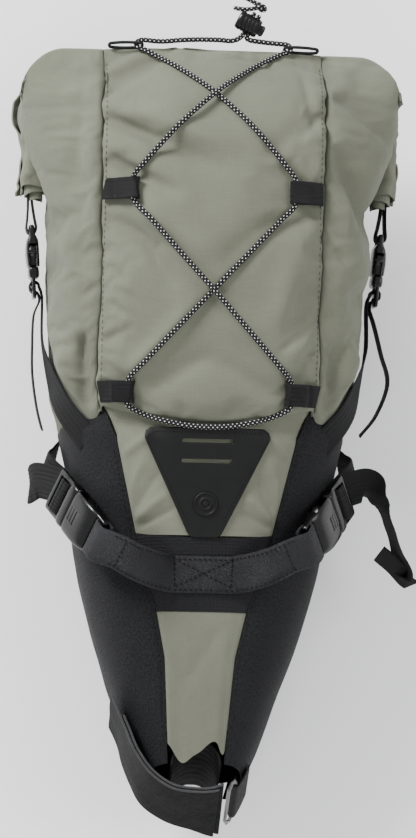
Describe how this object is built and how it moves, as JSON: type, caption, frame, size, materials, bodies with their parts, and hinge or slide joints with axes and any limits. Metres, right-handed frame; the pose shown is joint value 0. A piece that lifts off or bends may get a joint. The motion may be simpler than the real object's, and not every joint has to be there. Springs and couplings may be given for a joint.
{
  "type": "bicycle saddle bag",
  "caption": "Roll-top bikepacking saddle bag in sage green and black, with elastic cord lacing, side-release buckles, a saddle-rail strap, a light patch and a seat-post strap.",
  "frame": {"origin": "a point on the flat underside, on the bag's middle plane, under the sack's widest part", "axes": "+Y from the seat-post end towards the roll top, +Z from the underside out of the saddle-side face, +X to the right when looking down on that face with the roll top away"},
  "size_m": [0.2811, 0.5806, 0.1769],
  "materials": {
    "sage_ripstop": "matt coated ripstop",
    "black_fabric": "matt twill",
    "black_ripstop": "matt ripstop",
    "webbing": "woven",
    "synthetic_leather": "grained",
    "rubber_patch": "satin",
    "buckle_plastic": "moulded satin",
    "cord_braid": "braided, with light flecks",
    "hook_and_loop": "napped",
    "steel": "drawn wire",
    "sheet_plastic": "sheet",
    "liner_fabric": "coated"
  },
  "bodies": {
    "bag": {"closure_stiffener": "sheet_plastic", "compression_strap_left": "webbing", "compression_strap_right": "webbing", "cord_end_1": "cord_braid", "cord_end_2": "cord_braid", "cord_lock_body": "buckle_plastic", "cord_lock_spring": "steel", "cord_loop_low_left": "webbing", "cord_loop_low_right": "webbing", "cord_loop_mid_left": "webbing", "cord_loop_mid_right": "webbing", "cord_tie_left": "cord_braid", "cord_tie_right": "cord_braid", "elastic_cord": "cord_braid", "holster_lower_centre_panel": "sage_ripstop", "holster_side_panel_left": "black_fabric", "holster_side_panel_right": "black_fabric", "holster_upper_centre_panel": "sage_ripstop", "inner_dry_bag": "liner_fabric", "light_patch": "rubber_patch", "patch_emblem": "rubber_patch", "rail_buckle_left_female": "buckle_plastic", "rail_buckle_right_female": "buckle_plastic", "rail_strap": "synthetic_leather", "rail_webbing_left": "webbing", "rail_webbing_right": "webbing", "ring_tab": "webbing", "roll_buckle_left_female": "buckle_plastic", "roll_buckle_right_female": "buckle_plastic", "roll_tab_left": "webbing", "roll_tab_right": "webbing", "rolled_mouth": "sage_ripstop", "sack_centre_panel": "sage_ripstop", "sack_side_panel_left": "sage_ripstop", "sack_side_panel_right": "sage_ripstop", "seatpost_pad": "rubber_patch", "seatpost_strap": "hook_and_loop", "stopper_knot": "cord_braid", "strap_reinforcement_panel": "black_ripstop", "underside_panel": "black_fabric", "underside_stiffener": "sheet_plastic"},
    "roll_buckle_right_male_half": {"roll_buckle_right_male": "buckle_plastic", "compression_tail_right": "webbing"},
    "roll_buckle_right_prong_a_body": {"roll_buckle_right_prong_a": "buckle_plastic"},
    "roll_buckle_right_prong_b_body": {"roll_buckle_right_prong_b": "buckle_plastic"},
    "rail_buckle_right_male_half": {"rail_buckle_right_male": "buckle_plastic", "rail_webbing_tail_right": "webbing"},
    "rail_buckle_right_prong_a_body": {"rail_buckle_right_prong_a": "buckle_plastic"},
    "rail_buckle_right_prong_b_body": {"rail_buckle_right_prong_b": "buckle_plastic"},
    "roll_buckle_left_male_half": {"roll_buckle_left_male": "buckle_plastic", "compression_tail_left": "webbing"},
    "roll_buckle_left_prong_a_body": {"roll_buckle_left_prong_a": "buckle_plastic"},
    "roll_buckle_left_prong_b_body": {"roll_buckle_left_prong_b": "buckle_plastic"},
    "rail_buckle_left_male_half": {"rail_buckle_left_male": "buckle_plastic", "rail_webbing_tail_left": "webbing"},
    "rail_buckle_left_prong_a_body": {"rail_buckle_left_prong_a": "buckle_plastic"},
    "rail_buckle_left_prong_b_body": {"rail_buckle_left_prong_b": "buckle_plastic"},
    "cord_lock_push": {"cord_lock_button": "buckle_plastic"},
    "ring": {"strap_ring": "steel"},
    "strap_flap": {"seatpost_strap_flap": "hook_and_loop"}
  },
  "joints": [
    {"name": "roll_buckle_right_release", "type": "slide", "parent": "bag", "child": "roll_buckle_right_male_half", "axis": [-0.0747, -0.996, -0.0498], "range_m": [0, 0.02], "deforming": ["compression_strap_right", "compression_tail_right"]},
    {"name": "roll_buckle_right_prong_a_squeeze", "type": "hinge", "parent": "roll_buckle_right_male_half", "child": "roll_buckle_right_prong_a_body", "pos_m": [0.11979, 0.06791, 0.1024], "axis": [-0.9972, 0.0748, 0], "range_deg": [0, 7], "stiffness_Nm_per_rad": 0.06},
    {"name": "roll_buckle_right_prong_b_squeeze", "type": "hinge", "parent": "roll_buckle_right_male_half", "child": "roll_buckle_right_prong_b_body", "pos_m": [0.11985, 0.06869, 0.08662], "axis": [0.9972, -0.0748, 0], "range_deg": [0, 7], "stiffness_Nm_per_rad": 0.06},
    {"name": "rail_buckle_right_release", "type": "slide", "parent": "bag", "child": "rail_buckle_right_male_half", "axis": [0.4691, 0.6052, -0.6432], "range_m": [0, 0.024], "deforming": ["rail_webbing_right", "rail_webbing_tail_right"]},
    {"name": "rail_buckle_right_prong_a_squeeze", "type": "hinge", "parent": "rail_buckle_right_male_half", "child": "rail_buckle_right_prong_a_body", "pos_m": [0.09197, -0.10889, 0.11033], "axis": [-0.8077, -0.0005, -0.5896], "range_deg": [0, 7], "stiffness_Nm_per_rad": 0.06},
    {"name": "rail_buckle_right_prong_b_squeeze", "type": "hinge", "parent": "rail_buckle_right_male_half", "child": "rail_buckle_right_prong_b_body", "pos_m": [0.08509, -0.09355, 0.11974], "axis": [0.8077, 0.0005, 0.5896], "range_deg": [0, 7], "stiffness_Nm_per_rad": 0.06},
    {"name": "roll_buckle_left_release", "type": "slide", "parent": "bag", "child": "roll_buckle_left_male_half", "axis": [0.0747, -0.996, -0.0498], "range_m": [0, 0.02], "deforming": ["compression_strap_left", "compression_tail_left"]},
    {"name": "roll_buckle_left_prong_a_squeeze", "type": "hinge", "parent": "roll_buckle_left_male_half", "child": "roll_buckle_left_prong_a_body", "pos_m": [-0.11985, 0.06869, 0.08662], "axis": [0.9972, 0.0748, 0], "range_deg": [0, 7], "stiffness_Nm_per_rad": 0.06},
    {"name": "roll_buckle_left_prong_b_squeeze", "type": "hinge", "parent": "roll_buckle_left_male_half", "child": "roll_buckle_left_prong_b_body", "pos_m": [-0.11979, 0.06791, 0.1024], "axis": [-0.9972, -0.0748, 0], "range_deg": [0, 7], "stiffness_Nm_per_rad": 0.06},
    {"name": "rail_buckle_left_release", "type": "slide", "parent": "bag", "child": "rail_buckle_left_male_half", "axis": [-0.4691, 0.6052, -0.6432], "range_m": [0, 0.024], "deforming": ["rail_webbing_left", "rail_webbing_tail_left"]},
    {"name": "rail_buckle_left_prong_a_squeeze", "type": "hinge", "parent": "rail_buckle_left_male_half", "child": "rail_buckle_left_prong_a_body", "pos_m": [-0.08509, -0.09355, 0.11974], "axis": [0.8077, -0.0005, -0.5896], "range_deg": [0, 7], "stiffness_Nm_per_rad": 0.06},
    {"name": "rail_buckle_left_prong_b_squeeze", "type": "hinge", "parent": "rail_buckle_left_male_half", "child": "rail_buckle_left_prong_b_body", "pos_m": [-0.09197, -0.10889, 0.11033], "axis": [-0.8077, 0.0005, 0.5896], "range_deg": [0, 7], "stiffness_Nm_per_rad": 0.06},
    {"name": "cord_lock_press", "type": "slide", "parent": "bag", "child": "cord_lock_push", "axis": [-0.8862, 0.4634, 0.0012], "range_m": [0, 0.003], "stiffness_N_per_m": 300, "springref_m": -0.002, "deforming": ["cord_lock_spring"]},
    {"name": "strap_ring_swivel", "type": "hinge", "parent": "bag", "child": "ring", "pos_m": [0.02865, -0.29799, 0.06989], "axis": [0, 0.5269, 0.8499], "range_deg": [-10, 10]},
    {"name": "seatpost_strap_open", "type": "hinge", "parent": "bag", "child": "strap_flap", "pos_m": [0.02374, -0.30199, 0.07237], "axis": [0, 0.5269, 0.8499], "range_deg": [0, 80]}
  ],
  "couplings": [
    {"joint": "roll_buckle_right_prong_b_squeeze", "follows": "roll_buckle_right_prong_a_squeeze", "ratio": 1},
    {"joint": "rail_buckle_right_prong_b_squeeze", "follows": "rail_buckle_right_prong_a_squeeze", "ratio": 1},
    {"joint": "roll_buckle_left_prong_b_squeeze", "follows": "roll_buckle_left_prong_a_squeeze", "ratio": 1},
    {"joint": "rail_buckle_left_prong_b_squeeze", "follows": "rail_buckle_left_prong_a_squeeze", "ratio": 1}
  ]
}
